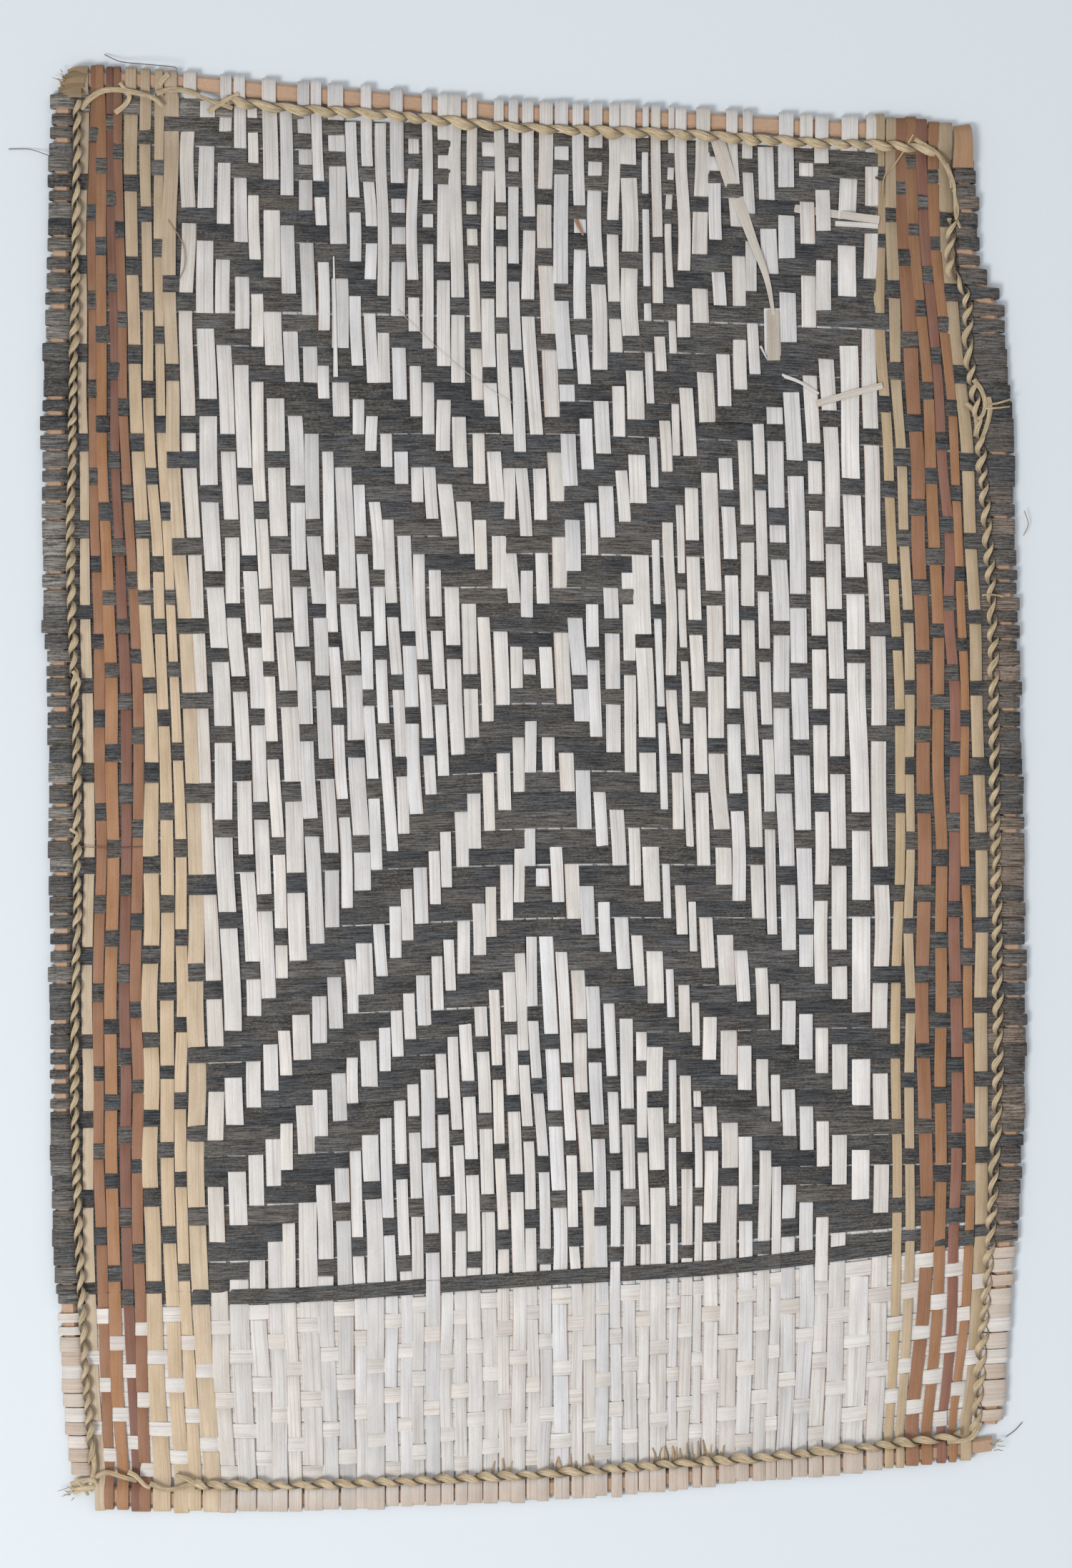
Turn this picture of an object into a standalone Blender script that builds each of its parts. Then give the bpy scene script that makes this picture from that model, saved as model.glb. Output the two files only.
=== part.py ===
"""A plaited mat of split reed, lying flat, seen with its worked face up.

The mat is one sheet of two layers of splints. At all four edges the splint ends turn up and back
over a split-reed edge rod, as tabs. A two-strand twining cord lies along the inner ends of the tabs.
X runs across the mat, Y along it and Z up. The origin is under the middle of the mat's box.
"""

import bisect
import math
from collections import namedtuple

import bmesh
import bpy

MM = 0.001

# Thicknesses, in millimetres
FIELD_THICK = 1.6
BASE_THICK = 0.8
SPLINT_THICK = 0.7
CLEAR = 0.3

# Edge rod, as distances in from the mat's edge, and its height above the base
ROD_OUTER = 2.0
ROD_INNER = 7.4
ROD_HEIGHT = 1.9
ROD_SHOULDER = 1.0

# The rim's levels and the twining cord
STEP_DEPTH = ROD_INNER + CLEAR
ROD_LOW = BASE_THICK + CLEAR
ROD_TOP = ROD_LOW + ROD_HEIGHT
TAB_LOW = ROD_TOP + CLEAR
TAB_TOP = TAB_LOW + SPLINT_THICK
CORD_DEPTH = 9.6
CORD_HALF_WIDTH = 1.6
CORD_HALF_HEIGHT = 1.25
CORD_WAIST = 0.66
CORD_SLANT = 0.9
CORD_LOW = FIELD_THICK + CLEAR

# Each edge of the mat: how far out it is at places along it, and how deep in the twining lies there
Edge = namedtuple("Edge", "along out")
Rim = namedtuple("Rim", "along twining_depth")
EDGES = {
    "left": [
        Edge(-252, -160.2), Edge(-220, -163.7), Edge(-184, -166.4), Edge(-132, -168.7), Edge(-47, -169.2),
        Edge(31, -169.9), Edge(61, -171.2), Edge(117, -172.2), Edge(186, -170.1), Edge(253, -168.2),
    ],
    "right": [
        Edge(-234, 163.0), Edge(-192, 166.3), Edge(-147, 169.8), Edge(-89, 172.3), Edge(32, 170.3),
        Edge(101, 168.0), Edge(128, 167.7), Edge(153, 165.3), Edge(172, 163.8), Edge(183, 156.8),
        Edge(204, 155.3), Edge(235, 151.8),
    ],
    "top": [
        Edge(-169, 252.6), Edge(-153, 252.6), Edge(-120, 250.8), Edge(-56, 245.6), Edge(-6, 240.9),
        Edge(48, 238.6), Edge(101, 235.5), Edge(127, 234.9), Edge(152, 231.4),
    ],
    "bottom": [
        Edge(-161, -251.4), Edge(-116, -253.1), Edge(-35, -250.6), Edge(22, -247.6), Edge(79, -242.1),
        Edge(131, -237.1), Edge(163, -232.8),
    ],
}
RIMS = {
    "left": [
        Rim(-240, 8.2), Rim(-150, 9.0), Rim(-90, 8.7), Rim(-40, 9.8), Rim(85, 9.9), Rim(117, 11.0), Rim(230, 9.4),
    ],
    "right": [
        Rim(-225, 9.4), Rim(-20, 10.0), Rim(60, 9.2), Rim(95, 10.0), Rim(145, 13.2), Rim(176, 12.5), Rim(200, 9.0),
        Rim(224, 8.6),
    ],
    "top": [Rim(-150, 9.6), Rim(-120, 8.6), Rim(-90, 10.6), Rim(-50, 10.0), Rim(90, 10.1), Rim(140, 10.8)],
    "bottom": [Rim(-150, 11.0), Rim(-110, 9.8), Rim(-60, 9.0), Rim(35, 9.6), Rim(80, 8.4), Rim(150, 9.0)],
}

# Where each edge's tabs start and stop, how many there are, and the share of the pitch that a tab fills
Tabs = namedtuple("Tabs", "start stop count fill")
TABS = {
    "bottom": Tabs(-150.0, 150.0, 30, 0.90),
    "right": Tabs(-222.0, 222.0, 41, 0.88),
    "top": Tabs(142.0, -154.0, 45, 0.68),
    "left": Tabs(231.0, -238.0, 41, 0.88),
}

# How far the cut corners reach along the edge before and the edge after, going round anticlockwise
Corner = namedtuple("Corner", "before after")
CORNERS = {
    "bottom": Corner(3.5, 6.2),
    "right": Corner(7.0, 6.3),
    "top": Corner(9.8, 7.8),
    "left": Corner(9.0, 7.8),
}

# The rods' ends, as distances from the mat's corners
RodEnds = namedtuple("RodEnds", "low high")
ROD_ENDS = {
    "bottom": RodEnds(8.5, 3.0),
    "right": RodEnds(11.0, 12.0),
    "top": RodEnds(9.9, 8.0),
    "left": RodEnds(12.0, 12.0),
}

# Half turns of the two cord strands along each edge
CORD_LOBES = {"bottom": 52, "right": 62, "top": 46, "left": 66}
CORD_SIDES = ((1.0, 0.0), (0.5, 0.87), (-0.5, 0.87), (-1.0, 0.0), (-0.5, -0.87), (0.5, -0.87))

ROUND = ("bottom", "right", "top", "left")
INWARD = {"left": (1, 0), "right": (-1, 0), "top": (0, -1), "bottom": (0, 1)}
CLOSING_STEPS = 12
CREASE = math.radians(50)

REED = {
    "pale_reed": ((0.74, 0.70, 0.66), 0.62),
    "rod_reed": ((0.62, 0.42, 0.26), 0.5),
    "twine": ((0.60, 0.47, 0.30), 0.65),
}


def smooth_between(rows, at):
    """The second column of a table at a place along its first, on one smooth curve through the rows."""
    places = [row[0] for row in rows]
    values = [row[1] for row in rows]
    k = min(max(bisect.bisect_right(places, at) - 1, 0), len(rows) - 2)

    def slope(i):
        low, high = max(i - 1, 0), min(i + 1, len(rows) - 1)
        return (values[high] - values[low]) / (places[high] - places[low])

    span = places[k + 1] - places[k]
    t = (at - places[k]) / span
    if t < 0 or t > 1:
        end = k if t < 0 else k + 1
        return values[end] + slope(end) * (at - places[end])
    rest = 1 - t
    return (
        values[k] * (1 + 2 * t) * rest * rest
        + values[k + 1] * (3 - 2 * t) * t * t
        + span * t * rest * (slope(k) * rest - slope(k + 1) * t)
    )


def rim_point(side, at, depth):
    """(x, y) of the point a depth in from a side's edge. All depths widen and narrow with the rim."""
    edge = smooth_between(EDGES[side], at)
    deep = depth * smooth_between(RIMS[side], at) / CORD_DEPTH
    if side in ("left", "right"):
        return edge + deep * INWARD[side][0], at
    return at, edge + deep * INWARD[side][1]


def corner_place(side, other, depth):
    """Places along two sides at which their lines at one depth cross, closed in on from the middle."""
    along, across = 0.0, 0.0
    for _ in range(CLOSING_STEPS):
        point = rim_point(other, across, depth)
        along = point[0] if side in ("top", "bottom") else point[1]
        point = rim_point(side, along, depth)
        across = point[1] if other in ("left", "right") else point[0]
    return along, across


def reed_material(name):
    colour, roughness = REED[name]
    material = bpy.data.materials.new(name)
    material.use_nodes = True
    shader = material.node_tree.nodes["Principled BSDF"]
    shader.inputs["Base Color"].default_value = (*colour, 1.0)
    shader.inputs["Roughness"].default_value = roughness
    shader.inputs["Metallic"].default_value = 0.0
    return material


def finished(name, work, material, rounded=False):
    """An object of a closed bmesh that is drawn in millimetres."""
    bmesh.ops.recalc_face_normals(work, faces=work.faces)
    bmesh.ops.scale(work, vec=(MM, MM, MM), verts=work.verts)
    mesh = bpy.data.meshes.new(name)
    work.to_mesh(mesh)
    work.free()
    if rounded:
        mesh.shade_smooth()
        mesh.set_sharp_from_angle(angle=CREASE)
    mesh.materials.append(material)
    obj = bpy.data.objects.new(name, mesh)
    bpy.context.scene.collection.objects.link(obj)
    return obj


def tab_places(side):
    """(start, stop) of each tab along a side, in the order in which the loop meets them."""
    tabs = TABS[side]
    pitch = (tabs.stop - tabs.start) / tabs.count
    margin = pitch * (1 - tabs.fill) / 2
    return [
        (tabs.start + k * pitch + margin, tabs.start + (k + 1) * pitch - margin)
        for k in range(tabs.count)
    ]


# A station is one side of a tab: its points from the edge inwards and from the underside up
Station = namedtuple("Station", "foot brow lip_top lip_low wall_top wall_low gap_low gap_top sill ledge")


def make_station(work, side, at):
    def vertex(depth, height):
        x, y = rim_point(side, at, depth)
        return work.verts.new((x, y, height))

    return Station(
        foot=vertex(0, 0),
        brow=vertex(0, TAB_TOP),
        lip_top=vertex(STEP_DEPTH, TAB_TOP),
        lip_low=vertex(STEP_DEPTH, TAB_LOW),
        wall_top=vertex(SPLINT_THICK, TAB_LOW),
        wall_low=vertex(SPLINT_THICK, BASE_THICK),
        gap_low=vertex(ROD_OUTER, 0),
        gap_top=vertex(ROD_OUTER, BASE_THICK),
        sill=vertex(STEP_DEPTH, BASE_THICK),
        ledge=vertex(STEP_DEPTH, FIELD_THICK),
    )


def add_band(work, first, last, *levels):
    """Faces between two stations, one from each level to the next."""
    for low, high in zip(levels, levels[1:]):
        work.faces.new((getattr(first, low), getattr(last, low), getattr(last, high), getattr(first, high)))


def add_tab(work, first, last):
    """A splint end that turns up at the edge and back over the rod."""
    outline = ("foot", "brow", "lip_top", "lip_low", "wall_top", "wall_low", "gap_top", "sill", "ledge")
    add_band(work, first, last, *outline)
    for station in (first, last):
        work.faces.new((
            station.foot, station.gap_low, station.gap_top, station.wall_low,
            station.wall_top, station.lip_low, station.lip_top, station.brow,
        ))


def add_corner(work, side, before, after):
    """The cut corner between a side's last tab and the next side's first. Returns its underside and ledge points."""
    other = ROUND[(ROUND.index(side) + 1) % 4]
    cut = CORNERS[side]
    end, start = corner_place(side, other, ROD_OUTER)
    end += -cut.before if side in ("bottom", "right") else cut.before
    start += cut.after if other in ("bottom", "right") else -cut.after
    places = [rim_point(side, end, ROD_OUTER), rim_point(other, start, ROD_OUTER)]
    low = [work.verts.new((x, y, 0)) for x, y in places]
    top = [work.verts.new((x, y, BASE_THICK)) for x, y in places]
    mitre = rim_point(side, corner_place(side, other, STEP_DEPTH)[0], STEP_DEPTH)
    sill = work.verts.new((*mitre, BASE_THICK))
    ledge = work.verts.new((*mitre, FIELD_THICK))
    rim_low = [before.gap_low, *low, after.gap_low]
    rim_top = [before.gap_top, *top, after.gap_top]
    for k in range(3):
        work.faces.new((rim_low[k], rim_low[k + 1], rim_top[k + 1], rim_top[k]))
    work.faces.new((*rim_top, after.sill, sill, before.sill))
    work.faces.new((before.sill, sill, ledge, before.ledge))
    work.faces.new((sill, after.sill, after.ledge, ledge))
    return low, ledge


def make_mat(material):
    """The sheet of splints with its turned tabs: one closed solid."""
    work = bmesh.new()
    runs = {
        side: [(make_station(work, side, a), make_station(work, side, b)) for a, b in tab_places(side)]
        for side in ROUND
    }
    underside, field = [], []
    for number, side in enumerate(ROUND):
        run = runs[side]
        for k, (first, last) in enumerate(run):
            add_tab(work, first, last)
            underside += [first.gap_low, first.foot, last.foot, last.gap_low]
            field += [first.ledge, last.ledge]
            if k + 1 < len(run):
                add_band(work, last, run[k + 1][0], "gap_low", "gap_top", "sill", "ledge")
        following = runs[ROUND[(number + 1) % 4]][0][0]
        low, ledge = add_corner(work, side, run[-1][1], following)
        underside += low
        field.append(ledge)
    work.faces.new(underside)
    work.faces.new(field)
    return finished("plaited_mat", work, material)


def sweep(work, rings):
    """Faces round a row of rings of vertices, closed at both ends."""
    count = len(rings[0])
    for ring, following in zip(rings, rings[1:]):
        for k in range(count):
            after = (k + 1) % count
            work.faces.new((ring[k], ring[after], following[after], following[k]))
    work.faces.new(rings[0])
    work.faces.new(rings[-1])


def make_rod(side, material):
    """A split-reed rod with a flat back and rounded shoulders, in the turned edge."""
    work = bmesh.new()
    before, after = (("left", "right") if side in ("top", "bottom") else ("bottom", "top"))
    low = corner_place(side, before, 0)[0] + ROD_ENDS[side].low
    high = corner_place(side, after, 0)[0] - ROD_ENDS[side].high
    section = (
        (ROD_OUTER, ROD_LOW),
        (ROD_INNER, ROD_LOW),
        (ROD_INNER, ROD_TOP - ROD_SHOULDER),
        (ROD_INNER - ROD_SHOULDER, ROD_TOP),
        (ROD_OUTER + ROD_SHOULDER, ROD_TOP),
        (ROD_OUTER, ROD_TOP - ROD_SHOULDER),
    )
    tab_sides = sorted(at for tab in tab_places(side) for at in tab if low + CLEAR < at < high - CLEAR)
    rings = [
        [work.verts.new((*rim_point(side, at, depth), height)) for depth, height in section]
        for at in (low, *tab_sides, high)
    ]
    sweep(work, rings)
    return finished(f"edge_rod_{side}", work, material, rounded=True)


def make_twining(side, material):
    """Two strands twisted round each other along the tabs' ends, with a slanted lobe for each half turn."""
    work = bmesh.new()
    before, after = (("left", "right") if side in ("top", "bottom") else ("bottom", "top"))
    low = corner_place(side, before, CORD_DEPTH)[0]
    high = corner_place(side, after, CORD_DEPTH)[0]
    reach = CORD_HALF_WIDTH if side in ("top", "bottom") else -(CORD_HALF_WIDTH + CLEAR + CORD_HALF_WIDTH)
    slant_room = CORD_SLANT * CORD_HALF_WIDTH
    low, high = low - reach + slant_room, high + reach - slant_room
    steps = 2 * CORD_LOBES[side]
    middle = CORD_LOW + CORD_HALF_HEIGHT
    rings = []
    for k in range(steps + 1):
        at = low + (high - low) * k / steps
        size = 1.0 if k % 2 else CORD_WAIST
        ring = []
        for across, up in CORD_SIDES:
            wide = across * size * CORD_HALF_WIDTH
            place = rim_point(side, at + CORD_SLANT * wide, CORD_DEPTH)
            inward = INWARD[side]
            height = middle + up * CORD_HALF_HEIGHT * (size if up > 0 else 1.0)
            ring.append(work.verts.new((place[0] + inward[0] * wide, place[1] + inward[1] * wide, height)))
        rings.append(ring)
    sweep(work, rings)
    return finished(f"twining_{side}", work, material, rounded=True)


def clear_scene():
    for obj in list(bpy.data.objects):
        bpy.data.objects.remove(obj)


def main():
    clear_scene()
    materials = {name: reed_material(name) for name in REED}
    make_mat(materials["pale_reed"])
    for side in ROUND:
        make_rod(side, materials["rod_reed"])
        make_twining(side, materials["twine"])


main()
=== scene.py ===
import math

import bpy
import numpy as np
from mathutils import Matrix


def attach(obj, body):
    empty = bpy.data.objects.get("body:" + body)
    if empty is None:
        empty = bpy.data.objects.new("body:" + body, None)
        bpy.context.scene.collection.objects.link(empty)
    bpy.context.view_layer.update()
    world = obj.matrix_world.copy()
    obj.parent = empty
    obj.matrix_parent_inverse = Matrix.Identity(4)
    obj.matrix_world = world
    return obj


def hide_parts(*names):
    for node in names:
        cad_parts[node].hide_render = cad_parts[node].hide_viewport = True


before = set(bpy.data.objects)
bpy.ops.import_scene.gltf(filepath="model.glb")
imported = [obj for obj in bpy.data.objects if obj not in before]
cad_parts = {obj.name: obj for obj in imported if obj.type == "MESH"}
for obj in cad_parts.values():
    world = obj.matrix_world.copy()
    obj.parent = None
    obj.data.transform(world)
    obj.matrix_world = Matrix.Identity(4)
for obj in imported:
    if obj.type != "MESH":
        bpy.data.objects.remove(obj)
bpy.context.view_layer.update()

# The long splints: fifty-nine strips of split reed that run the mat's whole length, forty-three pale ones
# between nine tan and brown ones on the left and seven on the right. One more pale splint starts halfway
# down, where the mat widens. Their ends turn up and back over the edge rods.
MM = 0.001
rng = np.random.default_rng(7)

THICK = 0.46
OVER = 1.16
UNDER = 0.42
CRISP = 0.42
BREADTHS = {"n": 3.2, "t": 3.8, "s": 4.4, "m": 5.2, "b": 6.2}
BREADTH_OF = "ttsttmstm" + "mbmmsbmmsbsssmssmmsmsssmmsmsbnsnmbmmsbbmmbm" + "nnstttm"
FIRST, PALE_FIRST, MIDDLE, PALE_LAST, LAST = -8, 1, 22, 43, 50
GAP = 0.5

# Centre lines of the splints that steer the rest, at places along the mat, from its near end to its far end
GUIDE_Y = (-234, -199, -149, -87, -24, 40, 101, 126, 160, 193, 226)
GUIDES = {
    -8: (-151.6, -153.9, -155.4, -156.1, -155.4, -156.1, -157.1, -157.4, -157.4, -157.4, -156.6),
    -4: (-135.4, -136.6, -138.2, -138.9, -138.4, -138.4, -142.1, -143.1, -143.6, -144.6, -145.1),
    0: (-112.9, -115.4, -117.8, -117.9, -118.4, -121.4, -124.6, -125.9, -126.6, -127.4, -126.6),
    1: (-106.6, -108.6, -110.1, -110.9, -113.4, -115.9, -119.1, -120.1, -121.4, -121.1, -120.1),
    8: (-65.1, -65.6, -66.6, -68.6, -70.9, -74.1, -76.9, -77.6, -78.6, -79.4, -80.6),
    15: (-29.9, -29.9, -30.4, -32.4, -34.6, -37.9, -40.6, -41.1, -41.6, -41.6, -42.1),
    22: (4.1, 4.1, 3.6, 0.6, -0.8, -1.1, -3.1, -4.6, -6.4, -6.9, -6.9),
    23: (14.9, 14.9, 14.1, 10.9, 7.2, 4.1, 2.1, 0.6, -1.1, -1.6, -1.6),
    29: (43.4, 43.6, 43.7, 43.0, 41.2, 39.1, 37.1, 35.9, 34.6, 33.6, 33.6),
    36: (78.6, 79.6, 80.6, 80.4, 77.9, 75.6, 74.1, 73.4, 71.4, 70.1, 69.9),
    40: (97.9, 99.6, 101.1, 100.6, 100.9, 99.9, 98.1, 97.4, 95.9, 95.1, 94.4),
    43: (117.9, 119.9, 120.5, 120.8, 120.6, 119.9, 117.9, 117.1, 116.9, 117.4, 117.1),
    44: (123.4, 125.6, 126.6, 126.4, 127.9, 127.1, 123.9, 123.1, 121.1, 121.4, 121.1),
    46: (131.6, 134.9, 137.4, 136.6, 136.1, 136.1, 134.6, 133.6, 132.0, 129.6, 128.2),
    48: (141.5, 145.4, 148.1, 148.4, 147.9, 147.1, 144.4, 142.9, 140.0, 137.0, 135.6),
    50: (148.6, 154.0, 156.8, 157.1, 156.1, 155.1, 152.4, 151.1, 147.1, 144.6, 143.9),
}
EXTRA = (9.4, 9.4, 8.9, 6.4, 2.6)
EXTRA_FIRST_ROW = 12

# The cross splints' rows: where each lies on the mat's middle line, and how far it strays from level across
ROW_Y = (
    (-34, 233.1), (-33, 227.9), (-26, 191.9), (-22, 167.9), (-13, 115.1), (-8, 85.1), (-5, 67.1), (0, 42.6),
    (5, 15.4), (6, 8.9), (13, -37.1), (20, -78.6), (24, -99.1), (30, -131.4), (35, -163.6), (36, -168.4),
    (37, -171.6), (38, -177.9), (49, -234.1),
)
STRAY_X = (-159, -82, -2, 78, 153)
STRAY = {
    -34: (6.5, 3.5, 0, -5.5, -10.5),
    -27: (4.0, 2.0, 0, -3.6, -8.0),
    -20: (2.5, 1.0, 0, -2.3, -5.5),
    -13: (0, 0, 0, -2.2, -6.5),
    -3: (-0.8, 0, 0, -1.0, -2.0),
    3: (-2.0, -1.0, 0, -1.2, -2.0),
    7: (-4.3, -3.2, 0, -0.6, -1.3),
    11: (-3.0, -2.2, 0, 0, -0.5),
    20: (-5.0, -3.0, 0, 1.8, 3.0),
    26: (-6.0, -4.0, 0, 1.5, 2.5),
    31: (-6.2, -4.2, 0, 2.2, 3.5),
    35: (-6.0, -4.0, 0, 3.0, 9.0),
    37: (-6.5, -5.0, 0, 5.8, 15.0),
    38: (-6.5, -4.5, 0, 6.0, 15.5),
    49: (-3.5, -5.5, 0, 6.5, 15.0),
}
TOP_ROW, SHORT_ROW_END, FLOAT_ROW, LAST_ROW = -34, -84, 37, 49
ROWS = range(TOP_ROW, LAST_ROW + 1)

# The mat's outline, and how deep in from it the twining lies
EDGES = {
    "left": (
        (-252, -160.2), (-220, -163.7), (-184, -166.4), (-132, -168.7), (-47, -169.2), (31, -169.9),
        (61, -171.2), (117, -172.2), (186, -170.1), (253, -168.2),
    ),
    "right": (
        (-234, 163.0), (-192, 166.3), (-147, 169.8), (-89, 172.3), (32, 170.3), (101, 168.0), (128, 167.7),
        (153, 165.3), (172, 163.8), (183, 156.8), (204, 155.3), (235, 151.8),
    ),
    "top": (
        (-169, 252.6), (-153, 252.6), (-120, 250.8), (-56, 245.6), (-6, 240.9), (48, 238.6), (101, 235.5),
        (127, 234.9), (152, 231.4),
    ),
    "bottom": (
        (-161, -251.4), (-116, -253.1), (-35, -250.6), (22, -247.6), (79, -242.1), (131, -237.1),
        (163, -232.8),
    ),
}
TWINING_DEPTH = {
    "left": ((-240, 8.2), (-150, 9.0), (-90, 8.7), (-40, 9.8), (85, 9.9), (117, 11.0), (230, 9.4)),
    "right": (
        (-225, 9.4), (-20, 10.0), (60, 9.2), (95, 10.0), (145, 13.2), (176, 12.5), (200, 9.0), (224, 8.6),
    ),
    "top": ((-150, 9.6), (-120, 8.6), (-90, 10.6), (-50, 10.0), (90, 10.1), (140, 10.8)),
    "bottom": ((-150, 11.0), (-110, 9.8), (-60, 9.0), (35, 9.6), (80, 8.4), (150, 9.0)),
}
USUAL_DEPTH = 9.6

# A turned end, as depths in from the mat's edge and heights: up over the rod, round it and back under
TURN = (
    (12.6, 1.0), (10.8, 1.3), (9.2, 2.0), (7.9, 3.2), (6.6, 3.62), (4.2, 3.7), (2.0, 3.55), (0.9, 3.0),
    (0.4, 2.1), (0.6, 1.2), (1.6, 0.6), (4.0, 0.32), (7.6, 0.3),
)
SHORT_AT_TOP = (2, 5, 7, 11, 13, 15, 20, 35, 38)
RAGGED = 0.3


def smooth_between(rows, at):
    """A table's second column at places along its first, on one smooth curve through the rows."""
    places, values = np.array(rows, float).T
    last = len(places) - 1
    low = np.maximum(np.arange(last + 1) - 1, 0)
    high = np.minimum(np.arange(last + 1) + 1, last)
    slopes = (values[high] - values[low]) / (places[high] - places[low])
    k = np.clip(np.searchsorted(places, at, "right") - 1, 0, last - 1)
    span = places[k + 1] - places[k]
    t = (at - places[k]) / span
    inside = np.clip(t, 0, 1)
    rest = 1 - inside
    curve = (
        values[k] * (1 + 2 * inside) * rest * rest
        + values[k + 1] * (3 - 2 * inside) * inside * inside
        + span * inside * rest * (slopes[k] * rest - slopes[k + 1] * inside)
    )
    end_slope = np.where(t < 0, slopes[k], slopes[k + 1])
    return curve + end_slope * (t - inside) * span


def edge_at(side, at):
    return smooth_between(EDGES[side], at)


def depth_share(side, at):
    return smooth_between(TWINING_DEPTH[side], at) / USUAL_DEPTH


def breadth(col):
    if col == EXTRA_COL:
        return BREADTHS["m"]
    return BREADTHS[BREADTH_OF[col - FIRST]]


def guide_line(col, y):
    """x of a long splint's course at y. Between two guides the splints share the room by breadth."""
    if col == EXTRA_COL:
        return smooth_between(tuple(zip(GUIDE_Y, EXTRA)), y)
    if col in GUIDES:
        return smooth_between(tuple(zip(GUIDE_Y, GUIDES[col])), y)
    before = max(guide for guide in GUIDES if guide < col)
    after = min(guide for guide in GUIDES if guide > col)
    room = [breadth(c) + GAP for c in range(before, after + 1)]
    reach = room[0] / 2 + sum(room[1:col - before]) + room[col - before] / 2
    share = reach / (sum(room) - room[0] / 2 - room[-1] / 2)
    return guide_line(before, y) * (1 - share) + guide_line(after, y) * share


EXTRA_COL = MIDDLE + 0.5
COLS = sorted([*range(FIRST, LAST + 1), EXTRA_COL])
ACROSS = np.arange(-180, 181, 3.0)
ALONG = np.arange(-264, 265, 3.0)

# How much courses wander off and lean, how far it takes them, and the gaps left free beside the splints
WANDER = 0.2
LEAN = 0.34
LEAN_EVERY = 27.0
LEAN_GROWS = (80, 200)
FAR_LEAN = {"pale": 1.5, "coloured": 0.8}
ROW_WANDER = 0.2
ROW_WANDER_EVERY = 48.0
TILT = 0.045
SQUEEZE = (0.86, 1.12)
FREE_ACROSS = ((-110, 0, 40, 120), (0.8, 0.75, 1.1, 1.05))
FREE_ALONG = ((-180, -160, 150, 220), (-0.35, 0.0, 0.0, 0.35))
FREE_LEFT = ((-230, -100, 60, 220), (0.5, 0.4, 0.5, 0.7))
FREE_RIGHT = ((-230, -150, -90, 130, 200), (1.2, 0.9, 0.8, 0.7, -0.3))


def uneven(places, every, size):
    """A smooth random curve over the places, which takes a new value at each step of the given length."""
    knots = np.arange(places[0] - every, places[-1] + 2 * every, every)
    return smooth_between(tuple(zip(knots, rng.normal(0, size, len(knots)))), places)


def col_course(col):
    """A long splint's centre line: its place between the guides, off by a little, and more at the far end."""
    most = FAR_LEAN["pale" if PALE_FIRST <= col <= PALE_LAST else "coloured"]
    lean = uneven(ALONG, LEAN_EVERY, LEAN) * np.interp(ALONG, LEAN_GROWS, (1.0, most))
    return guide_line(col, ALONG) + rng.normal(0, WANDER) + lean


def fit_width(col, y):
    """A long splint's breadth at y: its own, changed with the room between the guides, less a free gap."""
    shares = []
    for pair in zip(sorted(GUIDES), sorted(GUIDES)[1:]):
        if pair[0] <= col <= pair[1] and pair != (MIDDLE, MIDDLE + 1):
            room = [breadth(c) + GAP for c in range(pair[0], pair[1] + 1)]
            reach = sum(room) - room[0] / 2 - room[-1] / 2
            shares.append((guide_line(pair[1], y) - guide_line(pair[0], y)) / reach)
    share = np.clip(np.mean(shares, axis=0), *SQUEEZE) if shares else 1.0
    free = np.interp(guide_line(col, y), *FREE_ACROSS) + np.interp(y, *FREE_ALONG)
    if col < PALE_FIRST or col > PALE_LAST:
        free = np.interp(y, *(FREE_LEFT if col < PALE_FIRST else FREE_RIGHT))
    return (breadth(col) + GAP) * share - free


def row_course(row):
    """A cross splint's centre line: its place on the middle line, straying from level with its neighbours."""
    rows = sorted(STRAY)
    strays = np.array([smooth_between(tuple(zip(STRAY_X, STRAY[r])), ACROSS) for r in rows])
    k = min(max(sum(r <= row for r in rows) - 1, 0), len(rows) - 2)
    share = (row - rows[k]) / (rows[k + 1] - rows[k])
    course = np.interp(row, *np.array(ROW_Y).T) + strays[k] * (1 - share) + strays[k + 1] * share
    return course + rng.normal(0, ROW_WANDER) + uneven(ACROSS, ROW_WANDER_EVERY, ROW_WANDER)


COL_COURSES = {col: col_course(col) for col in COLS}
ROW_COURSES = {row: row_course(row) for row in ROWS}


def col_line(col, y):
    return np.interp(y, ALONG, COL_COURSES[col])


def row_line(row, x):
    return np.interp(x, ACROSS, ROW_COURSES[row])


def crossing(col, row):
    """(x, y) where a long and a cross splint meet."""
    x, y = 0.0, float(np.interp(row, *np.array(ROW_Y).T))
    for _ in range(3):
        x = float(col_line(col, y))
        y = float(row_line(row, x))
    return x, y


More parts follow.
